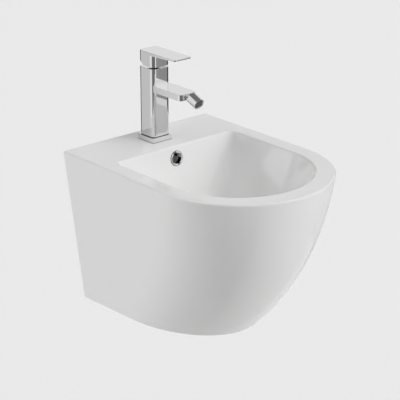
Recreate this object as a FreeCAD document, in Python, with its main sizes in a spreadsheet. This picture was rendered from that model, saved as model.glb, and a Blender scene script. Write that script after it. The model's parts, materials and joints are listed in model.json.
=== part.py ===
import FreeCAD, Part
import math
import os
import re
import Sketcher
from FreeCAD import Placement, Rotation, Vector

# Wall-hung bidet with a square single-lever mixer.
# Millimetres. Origin midway between the two wall fixings, on the wall plane.
# +X to the right, +Y into the wall, +Z up.

SIZES = {
    # Ceramic shell
    "body_width": 370, "body_depth": 486, "body_height": 326,
    "foot_width": 288, "foot_waist": 276, "foot_depth": 325.5,
    "nose_extra_rim": 1, "nose_extra_foot": 62,
    "front_slope": 0.173, "front_curve": 0.634,
    "rim_level": 100, "ceramic_wall": 12, "deck_thick": 16, "rear_wall": 22,
    "rim_round": 3.5, "foot_round": 4, "back_allowance": 2,
    "pipe_gap_width": 150, "pipe_gap_top": 70, "pipe_gap_round": 20,
    # Bowl
    "bowl_half": 150, "bowl_back": 119, "rim_front": 40, "bowl_depth": 133,
    "bowl_centre": "=body_depth - rim_front - bowl_half",
    "bowl_corner_rim": 15, "bowl_corner_floor": 40,
    "side_lean": 24, "back_lean": 8, "floor_round": 36, "bowl_edge_round": 4.5,
    # Overflow
    "overflow_drop": 25, "overflow_hole": 12.3, "overflow_outer": 14.5, "overflow_inner": 11.1,
    "overflow_lip": 2.4, "overflow_sleeve": 9, "duct_bore": 9, "duct_wall": 5, "duct_setback": 104,
    "duct_lift": 1, "duct_bend": 30,
    # Waste
    "waste_setback": 250, "dish_radius": 62, "dish_fall": 3.5, "recess_radius": 34, "recess_drop": 6.5,
    "waste_hole": 23, "boss_radius": 37, "boss_drop": 46,
    "flange_radius": 32, "flange_thick": 2.8, "skirt_radius": 18.5, "skirt_bore": 16.5,
    "skirt_drop": 15, "seal_thick": 1.5, "tail_radius": 20.95, "tail_bore": 18.6, "tail_drop": 90,
    "tail_grip": 22, "undercut_width": 2, "undercut_depth": 0.7,
    "slot_width": 14, "slot_top": 20, "slot_height": 18, "spider_drop": 48, "spider_thick": 4,
    "spider_width": 5, "hub_radius": 6.5, "hub_height": 8, "click_radius": 5.5, "click_length": 26,
    "plug_rod": 3, "plug_radius": 28, "plug_edge": 1.8, "plug_rise": 5.5, "plug_base": 1,
    "nut_flats": 62, "waste_nut_height": 13, "under_gasket_thick": 4.5, "under_gasket_radius": 33,
    # Wall fixings
    "fixing_spacing": 180, "fixing_hole": 11, "sleeve_bore": 6.5, "sleeve_flange": 16,
    "sleeve_lip": 3, "washer_radius": 18.5, "washer_thick": 2.5, "wall_nut_flats": 19,
    "wall_nut_height": 10, "wall_nut_bore": 6.1,
    # Tap column and base
    "tap_setback": 56, "tap_hole": 17.5, "column_width": 44, "column_depth": 44, "column_top": 150,
    "column_round": 8.5, "edge_soft": 0.6, "base_side": 49.4, "base_height": 10, "base_round": 4,
    "base_edge": 1.2, "seam_height": 1.2, "seam_depth": 1.4,
    "base_bore": 16.5, "gasket_inner": 18.6, "gasket_outer": 21.4, "gasket_height": 1.9,
    "inlet_radius": 5, "inlet_length": 12, "port_x": 7, "port_y": 3, "port_radius": 2.5,
    "mixed_y": 6.5, "mixed_radius": 2.8, "channel_radius": 3,
    "stud_radius": 4, "stud_y": 10.4, "stud_grip": 14, "stud_drop": 46,
    "shoe_radius": 24, "shoe_gap": 13.5, "shoe_gasket": 3, "shoe_washer": 2.5,
    "stud_nut_flats": 13, "stud_nut_height": 12,
    # Cartridge
    "cartridge_bore": 13.2, "seat_level": 114, "nut_bore": 15, "nut_bore_depth": 11,
    "port_seal": 1.5, "cartridge_foot": 4, "disc_thick": 3.5, "fixed_radius": 10.6, "moving_radius": 7.6,
    "carrier_height": 4.5, "shell_bore": 11.1, "shell_top": 141, "shell_roof": 2.5, "turret_radius": 11,
    "turret_neck": 8.4, "turret_foot": 131.8, "turret_top": 141.7, "pivot_level": 136, "pin_radius": 1.25,
    "pin_length": 19, "stem_side": 7, "stem_top": 177.5, "stem_foot": 132.6, "tip_radius": 2.2,
    "tip_drop": 7.2, "tip_neck": 1.3, "nut_inner": 10.6, "nut_top": 149.5,
    "slot_back": 6.8, "slot_front": 5.4,
    # Handle
    "handle_top": 182.5, "handle_front_foot": 153, "handle_mid_foot": 153.8, "handle_break": 6,
    "handle_back_foot": 165.2, "lever_reach": 88, "lever_root_thick": 5.4, "lever_tip_thick": 2.6,
    "lever_tip_round": 6, "grub_level": 173, "grub_radius": 2.5, "grub_length": 8, "plug_bore": 3,
    "plug_length": 5,
    # Spout and nozzle
    "spout_width": 42, "spout_thick": 12.5, "spout_level": 110.4, "spout_reach": 82, "spout_round": 8,
    "spigot_radius": 5.2, "spigot_length": 5.5, "stub_radius": 4.8, "stub_length": 10,
    "ball_reach": 11, "ball_radius": 8.5, "ball_front": 6, "neck_radius": 4.4, "stub_bore": 3,
    "collar_radius": 6, "collar_thick": 1.5, "seat_inner": 8.6, "seat_outer": 9.5, "seat_front": 40,
    "seat_back": 75, "socket_radius": 9.6, "socket_lip": 5, "nozzle_radius": 11.5, "nozzle_front": 21,
    "nozzle_shoulder": 3, "nozzle_tilt": 23, "front_bore": 10.6, "seal_level": 10, "washer_bore": 5.5,
    "nozzle_washer": 2, "insert_face": 20.2, "mesh_hole": 0.8, "mesh_pitch": 2.6, "mesh_depth": 3,
    "ring_back": 16, "ring_lip": 9.4,
    # Clearances
    "run_gap": 0.1, "fit_gap": 0.1, "stem_gap": 0.15, "face_gap": 0.05,
}

doc = FreeCAD.newDocument("Bidet")
sheet = doc.addObject("Spreadsheet::Sheet", "Sizes")
for row, (alias, size) in enumerate(SIZES.items(), 1):
    sheet.set(f"A{row}", alias)
    sheet.set(f"B{row}", str(size))
    sheet.setAlias(f"B{row}", alias)
doc.recompute()

ALIAS = re.compile(r"\b[a-z]+_[a-z_]+\b")
pieces = {}


def bound(formula):
    """Return the formula as an expression on the sheet."""
    return ALIAS.sub(lambda found: f"Sizes.{found.group(0)}", str(formula))


def value(formula):
    """Return the number that a formula on the sheet gives."""
    return float(sheet.evalExpression(bound(formula)))


def new_body(node, x="0", y="0", z="0", turn="0", piece=True):
    """Add a body, placed and turned about X by formulas; one that is no piece is only a cutting form."""
    body = doc.addObject("PartDesign::Body", node)
    body.Label = node
    place_at(body, "Placement", x, y, z, Rotation(Vector(1, 0, 0), value(turn)))
    if turn != "0":
        body.setExpression("Placement.Rotation.Angle", bound(turn))
    if piece:
        pieces[node] = body
    return body


def place_at(thing, prop, x, y, z, rotation):
    """Set a placement and bind its three coordinates."""
    setattr(thing, prop, Placement(Vector(value(x), value(y), value(z)), rotation))
    for axis, formula in zip("xyz", (x, y, z)):
        thing.setExpression(f"{prop}.Base.{axis}", bound(formula))


def sketch_on(body, role, name, level="0"):
    """Add a sketch on one of the body's own planes, a level along its normal."""
    sketch = body.newObject("Sketcher::SketchObject", f"{body.Name}_{name}")
    plane = next(item for item in body.Origin.OriginFeatures if item.Role == role)
    sketch.AttachmentSupport = (plane, [""])
    sketch.MapMode = "FlatFace"
    sketch.setExpression("AttachmentOffset.Base.z", bound(level))
    return sketch


def measure(sketch, kind, places, formula):
    """Add one driving dimension and bind it to the sheet."""
    index = sketch.addConstraint(Sketcher.Constraint(kind, *places, value(formula)))
    sketch.setExpression(f"Constraints[{index}]", bound(formula))


def pin_point(sketch, geo, end, x=None, y=None):
    """Hold a sketch point at the given coordinates; one left None stays free."""
    for kind, axis, formula in (("DistanceX", -2, x), ("DistanceY", -1, y)):
        if formula is None:
            continue
        amount = value(formula)
        if abs(amount) < 1e-9:
            sketch.addConstraint(Sketcher.Constraint("PointOnObject", geo, end, axis))
        elif amount > 0:
            measure(sketch, kind, (-1, 1, geo, end), formula)
        else:
            measure(sketch, kind, (geo, end, -1, 1), f"-({formula})")


def corner(point, arc):
    """Return a corner's numbers; a coordinate left None comes from the arc that meets it."""
    x, y = point[0], point[1]
    if x is not None and y is not None:
        return Vector(value(x), value(y), 0)
    radius, centre = value(arc[0]), value(arc[1])
    if x is None:
        rise = value(y) - centre
        return Vector(math.sqrt(radius ** 2 - rise ** 2), value(y), 0)
    rise = math.sqrt(radius ** 2 - value(x) ** 2)
    return Vector(value(x), centre + point[2] * rise, 0)


def outline(body, role, name, points, arcs=None, level="0"):
    """Draw a closed outline of lines and of arcs centred on the vertical axis.

    Each point is (x, y), or (x, None, side) or (None, y) where an arc (radius, centre height)
    fixes the other coordinate. Arcs are keyed by the number of the point they start from.
    """
    arcs = arcs or {}
    sketch = sketch_on(body, role, name, level)
    count = len(points)
    spots = [corner(p, arcs.get(i) or arcs.get(i - 1) or arcs.get(count - 1))
             for i, p in enumerate(points)]
    ends = []
    for i, spot in enumerate(spots):
        other = spots[(i + 1) % count]
        if i not in arcs:
            geo = sketch.addGeometry(Part.LineSegment(spot, other))
            ends.append(((geo, 1), (geo, 2)))
            continue
        radius, centre = arcs[i]
        middle = Vector(0, value(centre), 0)
        angles = [math.atan2(p.y - middle.y, p.x) for p in (spot, other)]
        circle = Part.Circle(middle, Vector(0, 0, 1), value(radius))
        geo = sketch.addGeometry(Part.ArcOfCircle(circle, min(angles), max(angles)))
        ends.append(((geo, 1), (geo, 2)) if angles[0] < angles[1] else ((geo, 2), (geo, 1)))
        measure(sketch, "Radius", (geo,), radius)
        pin_point(sketch, geo, 3, "0", centre)
    for i, point in enumerate(points):
        sketch.addConstraint(Sketcher.Constraint("Coincident", *ends[i - 1][1], *ends[i][0]))
        pin_point(sketch, *ends[i][0], point[0], point[1])
    return sketch


def box_points(half_width, back, front):
    """Return the corners of a rectangle centred on the sketch's vertical axis."""
    return [(f"-({half_width})", back), (f"-({half_width})", front), (half_width, front), (half_width, back)]


def rings(body, role, name, circles, level="0"):
    """Draw circles given as (radius, x, y)."""
    sketch = sketch_on(body, role, name, level)
    for radius, x, y in circles:
        circle = Part.Circle(Vector(value(x), value(y), 0), Vector(0, 0, 1), value(radius))
        geo = sketch.addGeometry(circle)
        measure(sketch, "Radius", (geo,), radius)
        pin_point(sketch, geo, 3, x, y)
    return sketch


def feature(body, kind, name, profile, **settings):
    """Add a sketch-based feature and recompute it."""
    item = body.newObject(f"PartDesign::{kind}", f"{body.Name}_{name}")
    item.Profile = profile
    for key, setting in settings.items():
        setattr(item, key, setting)
    body.Tip = item
    return item


def pad(body, name, profile, length, cut=False, flip=False):
    """Pad a sketch along its normal, or cut it against its normal; flip turns the side round."""
    item = feature(body, "Pocket" if cut else "Pad", name, profile, Reversed=flip)
    item.setExpression("Length", bound(length))
    doc.recompute()
    return item


def turned(body, name, points, arcs=None, cut=False, level="0"):
    """Revolve an outline of (radius, height) points about the vertical axis, or groove it."""
    sketch = outline(body, "XZ_Plane", f"{name}_profile", points, arcs, level)
    kind = "Groove" if cut else "Revolution"
    item = feature(body, kind, name, sketch, ReferenceAxis=(sketch, ["V_Axis"]), Angle=360)
    doc.recompute()
    return item


def rod(body, name, radius, length, x="0", y="0", z="0", along="Z", cut=True):
    """Add or cut a plain cylinder that starts at a point and runs along an axis."""
    turns = {"Z": (0, 0, 1, 0), "-Z": (1, 0, 0, 180), "Y": (1, 0, 0, -90), "-Y": (1, 0, 0, 90),
             "X": (0, 1, 0, 90)}
    ax, ay, az, angle = turns[along]
    kind = "SubtractiveCylinder" if cut else "AdditiveCylinder"
    item = body.newObject(f"PartDesign::{kind}", f"{body.Name}_{name}")
    plane = next(part for part in body.Origin.OriginFeatures if part.Role == "XY_Plane")
    item.AttachmentSupport = (plane, [""])
    item.MapMode = "FlatFace"
    place_at(item, "AttachmentOffset", x, y, z, Rotation(Vector(ax, ay, az), angle))
    item.setExpression("Radius", bound(radius))
    item.setExpression("Height", bound(length))
    body.Tip = item
    doc.recompute()
    return item


def soften(body, name, radius, test):
    """Fillet every edge of the body that passes the test."""
    base = body.Tip
    names = [f"Edge{i}" for i, edge in enumerate(base.Shape.Edges, 1) if test(edge)]
    if not names:
        raise ValueError(f"no edge for {name}")
    item = body.newObject("PartDesign::Fillet", f"{body.Name}_{name}")
    item.Base = (base, names)
    item.setExpression("Radius", bound(radius))
    body.Tip = item
    doc.recompute()
    if "Invalid" in item.State:
        raise RuntimeError(f"{item.Name} did not compute on {names}")
    return item


def upright(edge):
    """Tell whether an edge is a straight line along the sketch normal Z."""
    direction = edge.tangentAt(edge.FirstParameter)
    return edge.Curve.TypeId == "Part::GeomLine" and abs(direction.z) > 0.999


def at_height(edge, height):
    """Tell whether an edge lies in one horizontal plane of the body."""
    box = edge.BoundBox
    return abs(box.ZMin - height) < 1e-3 and abs(box.ZMax - height) < 1e-3


def washer(node, inner, outer, bottom, top, **place):
    """Make a plain ring with a rectangular section."""
    body = new_body(node, **place)
    turned(body, "ring", [(inner, bottom), (outer, bottom), (outer, top), (inner, top)])
    return body


def hex_points(flats):
    """Return the corners of a hexagon across flats."""
    tip, half = f"({flats})*0.57735", f"({flats})*0.288675"
    side = f"({flats})/2"
    return [(tip, "0"), (half, side), (f"-{half}", side), (f"-{tip}", "0"), (f"-{half}", f"-{side}"),
            (half, f"-{side}")]


def hex_nut(node, flats, height, bore, level, **place):
    """Make a hexagon nut with a plain bore and turned-down corners."""
    body = new_body(node, **place)
    pad(body, "hexagon", outline(body, "XY_Plane", "flats", hex_points(flats), level=level), height)
    rod(body, "bore", bore, height, z=level)
    reach, land, fall = f"({flats})*0.6", f"({flats})*0.47", f"({flats})*0.06"
    top = f"{level} + {height}"
    turned(body, "crown", [(land, f"{top} + 1"), (reach, f"{top} + 1"), (reach, f"{top} - {fall}"),
                           (land, top)], cut=True)
    return body


# Ceramic body

SHELL_STEPS = 6


def shell_section(body, name, share, inset, back):
    """Draw the D-shaped section of the shell at a share of its height below the rim."""
    width = f"(body_width + (foot_width - body_width)*{share})/2 - {inset}"
    waist = f"(body_width + (foot_waist - body_width)*{share})/2 - {inset}"
    curve = f"front_slope*{share} + front_curve*{share}^2 + (1 - front_slope - front_curve)*{share}^3"
    depth = f"body_depth - (body_depth - foot_depth)*({curve})"
    extra = f"nose_extra_rim + (nose_extra_foot - nose_extra_rim)*{share}"
    nose = f"({waist}) + {extra}"
    run = f"({depth}) - {inset} - ({nose})"
    sketch = sketch_on(body, "XY_Plane", name, f"rim_level - body_height*{share}")
    wide, slim, far, tip, rear = value(width), value(waist), value(run), value(nose), value(back)
    left, right = Vector(-wide, -rear, 0), Vector(wide, -rear, 0)
    centre, turn_left, turn_right = Vector(0, -far, 0), Vector(-slim, -far, 0), Vector(slim, -far, 0)
    oval = Part.Ellipse(Vector(0, -far - tip, 0), turn_right, centre)
    rear_line = sketch.addGeometry(Part.LineSegment(left, right))
    right_line = sketch.addGeometry(Part.LineSegment(right, turn_right))
    front = sketch.addGeometry(Part.ArcOfEllipse(oval, -math.pi / 2, math.pi / 2))
    left_line = sketch.addGeometry(Part.LineSegment(turn_left, left))
    sketch.exposeInternalGeometry(front)
    long_axis = left_line + 1
    for rule in (("Coincident", rear_line, 2, right_line, 1), ("Coincident", right_line, 2, front, 2),
                 ("Coincident", front, 1, left_line, 1), ("Coincident", left_line, 2, rear_line, 1),
                 ("Symmetric", rear_line, 1, rear_line, 2, -2), ("PointOnObject", front, 3, -2),
                 ("Symmetric", front, 1, front, 2, front, 3), ("Horizontal", front, 3, front, 2),
                 ("Vertical", long_axis)):
        sketch.addConstraint(Sketcher.Constraint(*rule))
    pin_point(sketch, rear_line, 1, None, f"-({back})")
    measure(sketch, "DistanceX", (rear_line, 1, rear_line, 2), f"2*({width})")
    measure(sketch, "DistanceX", (front, 1, front, 2), f"2*({waist})")
    measure(sketch, "DistanceY", (front, 3, -1, 1), run)
    measure(sketch, "Distance", (long_axis,), f"2*({nose})")
    return sketch


def bowl_section(body, name, depth, grow):
    """Draw the bowl's outline at a depth below the rim, grown by a wall thickness."""
    radius = f"bowl_half - ({depth})*tan(side_lean) + {grow}"
    back = f"bowl_back + ({depth})*tan(back_lean) - {grow}"
    bend = f"bowl_corner_rim + (bowl_corner_floor - bowl_corner_rim)*({depth})/bowl_depth + {grow}"
    sketch = sketch_on(body, "XY_Plane", name, f"rim_level - ({depth})")
    r, b, c, m = value(radius), value(back), value(bend), value("bowl_centre")
    up = Vector(0, 0, 1)
    rear = sketch.addGeometry(Part.LineSegment(Vector(c - r, -b, 0), Vector(r - c, -b, 0)))
    right_round = Part.Circle(Vector(r - c, -b - c, 0), up, c)
    right_bend = sketch.addGeometry(Part.ArcOfCircle(right_round, 0, math.pi / 2))
    right = sketch.addGeometry(Part.LineSegment(Vector(r, -b - c, 0), Vector(r, -m, 0)))
    front = sketch.addGeometry(Part.ArcOfCircle(Part.Circle(Vector(0, -m, 0), up, r), math.pi, 2 * math.pi))
    left = sketch.addGeometry(Part.LineSegment(Vector(-r, -m, 0), Vector(-r, -b - c, 0)))
    left_bend = sketch.addGeometry(
        Part.ArcOfCircle(Part.Circle(Vector(c - r, -b - c, 0), up, c), math.pi / 2, math.pi))
    for rule in (("Tangent", rear, 2, right_bend, 2), ("Tangent", right_bend, 1, right, 1),
                 ("Tangent", right, 2, front, 2), ("Tangent", front, 1, left, 1),
                 ("Tangent", left, 2, left_bend, 2), ("Tangent", left_bend, 1, rear, 1),
                 ("Horizontal", rear), ("Vertical", right), ("Vertical", left),
                 ("Equal", right_bend, left_bend), ("PointOnObject", front, 3, -2)):
        sketch.addConstraint(Sketcher.Constraint(*rule))
    measure(sketch, "Radius", (front,), radius)
    measure(sketch, "Radius", (right_bend,), bend)
    measure(sketch, "DistanceY", (front, 3, -1, 1), "bowl_centre")
    measure(sketch, "DistanceY", (rear, 1, -1, 1), back)
    return sketch


def loft(body, kind, name, sections):
    """Loft through sections in order."""
    item = feature(body, kind, name, sections[0], Sections=sections[1:], Refine=False)
    doc.recompute()
    return item


def bowl_loft(body, kind, name, first, grow):
    """Loft the bowl's leaning walls from a first depth to its floor, then round the floor's edge."""
    last = f"bowl_depth + {grow}"
    loft(body, kind, name, [bowl_section(body, f"{name}_top", first, grow),
                            bowl_section(body, f"{name}_floor", last, grow)])
    level = value(f"rim_level - ({last})")
    soften(body, f"{name}_round", f"floor_round + {grow}",
           lambda e: at_height(e, level) and e.BoundBox.YMax < -value("rear_wall + 1"))


def duct(body, kind, name, radius, start):
    """Sweep the overflow duct down behind the bowl and forward to the waste."""
    low = "rim_level - bowl_depth - boss_drop + duct_bore + duct_wall + duct_lift"
    path = sketch_on(body, "YZ_Plane", f"{name}_path")
    y, z0, z1, bend, end = (value(f) for f in ("-duct_setback", start, low, "duct_bend", "-waste_setback"))
    middle = Vector(y - bend, z1 + bend, 0)
    drop = path.addGeometry(Part.LineSegment(Vector(y, z0, 0), Vector(y, z1 + bend, 0)))
    turn = path.addGeometry(Part.ArcOfCircle(Part.Circle(middle, Vector(0, 0, 1), bend), -math.pi / 2, 0))
    run = path.addGeometry(Part.LineSegment(Vector(y - bend, z1, 0), Vector(end, z1, 0)))
    for rule in (("Tangent", drop, 2, turn, 2), ("Tangent", turn, 1, run, 1), ("Vertical", drop),
                 ("Horizontal", run)):
        path.addConstraint(Sketcher.Constraint(*rule))
    pin_point(path, drop, 1, "-duct_setback", start)
    pin_point(path, run, 2, "-waste_setback", low)
    measure(path, "Radius", (turn,), "duct_bend")
    section = rings(body, "XY_Plane", f"{name}_section", [(radius, "0", "-duct_setback")], start)
    item = feature(body, kind, name, section, Spine=(path, ["Edge1", "Edge2", "Edge3"]), Refine=False)
    doc.recompute()
    return item


ceramic = new_body("ceramic_body")
shares = [i / (SHELL_STEPS - 1) for i in range(SHELL_STEPS)]
loft(ceramic, "AdditiveLoft", "shell",
     [shell_section(ceramic, f"shell_{i}", f"{share:.3f}", "0", "-back_allowance")
      for i, share in enumerate(shares)])
rim, foot = value("rim_level"), value("rim_level - body_height")
soften(ceramic, "rim_edge", "rim_round", lambda e: at_height(e, rim) and e.BoundBox.YMin < -1)
soften(ceramic, "foot_edge", "foot_round", lambda e: at_height(e, foot) and e.BoundBox.YMin < -1)
back_waste = outline(ceramic, "XZ_Plane", "back_waste", box_points("body_width/2 + 5", "rim_level + 1",
                                                               "rim_level - body_height - 1"))
pad(ceramic, "ground_back", back_waste, "back_allowance + 1", cut=True)
top_share = value("deck_thick/body_height")
cavity = [top_share + (1.004 - top_share) * share for share in shares]
loft(ceramic, "SubtractiveLoft", "cavity",
     [shell_section(ceramic, f"cavity_{i}", f"{share:.6f}", "ceramic_wall", "rear_wall")
      for i, share in enumerate(cavity)])
bowl_loft(ceramic, "AdditiveLoft", "bowl_wall", "deck_thick/2", "ceramic_wall")
floor = "rim_level - bowl_depth"
rod(ceramic, "waste_boss", "boss_radius", "boss_drop - recess_drop", y="-waste_setback",
    z=f"{floor} - boss_drop", cut=False)
duct(ceramic, "AdditivePipe", "duct", "duct_bore + duct_wall", "rim_level - deck_thick/2")
bowl_core = new_body("bowl_core", piece=False)
bowl_loft(bowl_core, "AdditiveLoft", "hollow", "-2", "0")
bowl_cut = ceramic.newObject("PartDesign::Boolean", "ceramic_body_bowl")
bowl_cut.Type = "Cut"
bowl_cut.setObjects([bowl_core])
ceramic.Tip = bowl_cut
doc.recompute()
turned(ceramic, "waste_seat", [
    ("0", f"{floor} + 1"), ("dish_radius", f"{floor} + 1"), ("dish_radius", floor),
    ("recess_radius", f"{floor} - dish_fall"), ("recess_radius", f"{floor} - recess_drop"),
    ("waste_hole", f"{floor} - recess_drop"), ("waste_hole", f"{floor} - boss_drop - 2"),
    ("0", f"{floor} - boss_drop - 2")], cut=True, level="waste_setback")
duct(ceramic, "SubtractivePipe", "channel", "duct_bore", "rim_level - overflow_drop")
overflow_y = "-(bowl_back + overflow_drop*tan(back_lean))"
overflow_hole = rod(ceramic, "overflow", "overflow_hole", "duct_bore + bowl_back - duct_setback + 8",
                    y=f"{overflow_y} - 8*cos(back_lean)",
                    z="rim_level - overflow_drop + 8*sin(back_lean)", along="Y")
overflow_hole.AttachmentOffset = Placement(overflow_hole.AttachmentOffset.Base,
                                           Rotation(Vector(1, 0, 0), value("-90 - back_lean")))
rod(ceramic, "tap_hole", "tap_hole", "deck_thick + 4", y="-tap_setback", z="rim_level - deck_thick - 2")
for side in ("-", ""):
    rod(ceramic, f"fixing_hole{side.replace('-', '_left')}", "fixing_hole", "rear_wall + 2",
        x=f"{side}fixing_spacing/2", y="-rear_wall - 1", along="Y")
gap = outline(ceramic, "XZ_Plane", "pipe_gap", box_points("pipe_gap_width/2", "-pipe_gap_top",
                                                         "rim_level - body_height - 1"), level="-1")
pad(ceramic, "pipe_gap_cut", gap, "rear_wall + 2", cut=True, flip=True)
soften(ceramic, "pipe_gap_corner", "pipe_gap_round",
       lambda e: e.Curve.TypeId == "Part::GeomLine" and abs(e.tangentAt(e.FirstParameter).y) > 0.999
       and abs(e.BoundBox.ZMin + value("pipe_gap_top")) < 1e-3)
soften(ceramic, "bowl_edge", "bowl_edge_round",
       lambda e: at_height(e, rim) and e.BoundBox.YMax < -value("bowl_back") + 1 and e.BoundBox.XMax
       < value("bowl_half + 1") and e.BoundBox.XMin > -value("bowl_half + 1"))

# Overflow ring, square to the leaning back wall

ring = new_body("overflow_ring", y=overflow_y, z="rim_level - overflow_drop", turn="90 - back_lean")
turned(ring, "trim", [
    ("overflow_inner", "-overflow_sleeve"), ("overflow_hole - fit_gap", "-overflow_sleeve"),
    ("overflow_hole - fit_gap", "0"), ("overflow_outer", "0"), ("overflow_outer", "overflow_lip/2"),
    ("(overflow_outer + overflow_inner)/2", "overflow_lip"), ("overflow_inner", "overflow_lip/2")])

# Wall fixings

for side, sign in (("left", "-"), ("right", "")):
    spot = {"x": f"{sign}fixing_spacing/2", "turn": "90"}
    sleeve = new_body(f"wall_sleeve_{side}", **spot)
    turned(sleeve, "bush", [
        ("sleeve_bore", "0"), ("fixing_hole - fit_gap", "0"), ("fixing_hole - fit_gap", "rear_wall"),
        ("sleeve_flange", "rear_wall"), ("sleeve_flange", "rear_wall + sleeve_lip"),
        ("sleeve_bore", "rear_wall + sleeve_lip")])
    washer(f"wall_washer_{side}", "sleeve_bore", "washer_radius", "rear_wall + sleeve_lip",
           "rear_wall + sleeve_lip + washer_thick", **spot)
    hex_nut(f"wall_nut_{side}", "wall_nut_flats", "wall_nut_height", "wall_nut_bore",
            "rear_wall + sleeve_lip + washer_thick", **spot)

# Tap base, column and the fixing under the deck

ON_DECK = {"y": "-tap_setback", "z": "rim_level"}
column_box = box_points("column_width/2", "column_depth/2", "-column_depth/2")

base = new_body("base_plate", **ON_DECK)
base_box = box_points("base_side/2", "base_side/2", "-base_side/2")
pad(base, "plate", outline(base, "XY_Plane", "square", base_box), "base_height")
soften(base, "corners", "base_round", upright)
soften(base, "top_edge", "base_edge", lambda e: at_height(e, value("base_height")))
rod(base, "bore", "base_bore", "base_height")
turned(base, "gasket_groove", [
    ("gasket_inner - fit_gap", "0"), ("gasket_outer + fit_gap", "0"),
    ("gasket_outer + fit_gap", "gasket_height + fit_gap"),
    ("gasket_inner - fit_gap", "gasket_height + fit_gap")], cut=True)
washer("base_gasket", "gasket_inner", "gasket_outer", "0", "gasket_height", **ON_DECK)

column = new_body("tap_column", **ON_DECK)
heel_box = box_points("column_width/2 - seam_depth", "column_depth/2 - seam_depth",
                      "seam_depth - column_depth/2")
pad(column, "heel", outline(column, "XY_Plane", "heel_square", heel_box, level="base_height"), "seam_height")
soften(column, "heel_corners", "column_round - seam_depth", upright)
pad(column, "post", outline(column, "XY_Plane", "square", column_box, level="base_height + seam_height"),
    "column_top - base_height - seam_height")
soften(column, "corners", "column_round",
       lambda e: upright(e) and abs(e.BoundBox.ZMax - value("column_top")) < 1e-3)
soften(column, "top_edge", "edge_soft", lambda e: at_height(e, value("column_top")))
rod(column, "nut_bore", "nut_bore", "nut_bore_depth", z="column_top - nut_bore_depth")
rod(column, "cartridge_bore", "cartridge_bore", "column_top - seat_level", z="seat_level")
for side, sign in (("hot", "-"), ("cold", "")):
    rod(column, f"{side}_inlet", "inlet_radius", "inlet_length", f"{sign}port_x", "-port_y", "base_height")
    rod(column, f"{side}_port", "port_radius", "seat_level - base_height", f"{sign}port_x", "-port_y",
        "base_height")
rod(column, "mixed_port", "mixed_radius", "seat_level - spout_level", "0", "mixed_y", "spout_level")
rod(column, "mixed_channel", "channel_radius", "column_depth/2 + mixed_y + mixed_radius/2", "0",
    "-column_depth/2", "spout_level", "Y")
rod(column, "spout_socket", "spigot_radius", "spigot_length + fit_gap", "0", "-column_depth/2",
    "spout_level", "Y")
rod(column, "stud_hole", "stud_radius", "stud_grip", "0", "stud_y", "base_height")

stud = new_body("fixing_stud", **ON_DECK)
turned(stud, "rod", [("0", "-stud_drop"), ("stud_radius - fit_gap", "-stud_drop"),
                     ("stud_radius - fit_gap", "base_height + stud_grip"), ("0", "base_height + stud_grip")])
stud.setExpression("Placement.Base.y", bound("stud_y - tap_setback"))


def horseshoe(node, level, thick):
    """Make an open plate that slips round the inlets and is held by the stud."""
    body = new_body(node, **ON_DECK)
    pad(body, "disc", rings(body, "XY_Plane", "round", [("shoe_radius", "0", "0")], level), thick)
    mouth = box_points("shoe_gap", "port_y", "-shoe_radius - 1")
    pad(body, "mouth", outline(body, "XY_Plane", "mouth_box", mouth, level=f"{level} + {thick}"), thick,
        cut=True)
    rod(body, "stud_bore", "stud_radius + fit_gap", thick, "0", "stud_y", level)
    return body


horseshoe("horseshoe_gasket", "-deck_thick - shoe_gasket", "shoe_gasket")
horseshoe("horseshoe_washer", "-deck_thick - shoe_gasket - shoe_washer", "shoe_washer")
hex_nut("stud_nut", "stud_nut_flats", "stud_nut_height", "stud_radius",
        "-deck_thick - shoe_gasket - shoe_washer - stud_nut_height",
        y="stud_y - tap_setback", z="rim_level")

# Mixing cartridge

foot_level = "seat_level + port_seal"
disc_level = f"{foot_level} + cartridge_foot"
sliding_level = f"{disc_level} + disc_thick + face_gap"
carrier_level = f"{sliding_level} + disc_thick"


def ported_disc(node, radius, level, thick):
    """Make a disc with the hot, cold and mixed ports through it."""
    body = new_body(node, **ON_DECK)
    pad(body, "disc", rings(body, "XY_Plane", "round", [(radius, "0", "0")], level), thick)
    ports = [("port_radius", "-port_x", "-port_y"), ("port_radius", "port_x", "-port_y"),
             ("mixed_radius", "0", "mixed_y")]
    pad(body, "ports", rings(body, "XY_Plane", "port_rings", ports, f"{level} + {thick}"), thick, cut=True)
    return body


ported_disc("port_seal_plate", "cartridge_bore - 5*fit_gap", "seat_level", "port_seal")
ported_disc("cartridge_base", "cartridge_bore - fit_gap", foot_level, "cartridge_foot")
ported_disc("fixed_disc", "fixed_radius", disc_level, "disc_thick")

disc = new_body("moving_disc", **ON_DECK)
pad(disc, "disc", rings(disc, "XY_Plane", "round", [("moving_radius", "0", "0")], sliding_level),
    "disc_thick")
rod(disc, "mixing_hollow", "moving_radius*0.7", "disc_thick/2", z=sliding_level)

carrier = new_body("disc_carrier", **ON_DECK)
pad(carrier, "disc", rings(carrier, "XY_Plane", "round", [("moving_radius", "0", "0")], carrier_level),
    "carrier_height")
rod(carrier, "tip_socket", "tip_radius + stem_gap", "pivot_level - tip_drop - tip_radius", "0", "0",
    "pivot_level - tip_drop - tip_radius - stem_gap")

shell = new_body("cartridge_shell", **ON_DECK)
turned(shell, "cup", [
    ("shell_bore", disc_level), ("cartridge_bore - fit_gap", disc_level),
    ("cartridge_bore - fit_gap", "shell_top"),
    ("turret_neck + run_gap", "shell_top"), ("turret_neck + run_gap", "shell_top - shell_roof"),
    ("shell_bore", "shell_top - shell_roof")])

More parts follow.
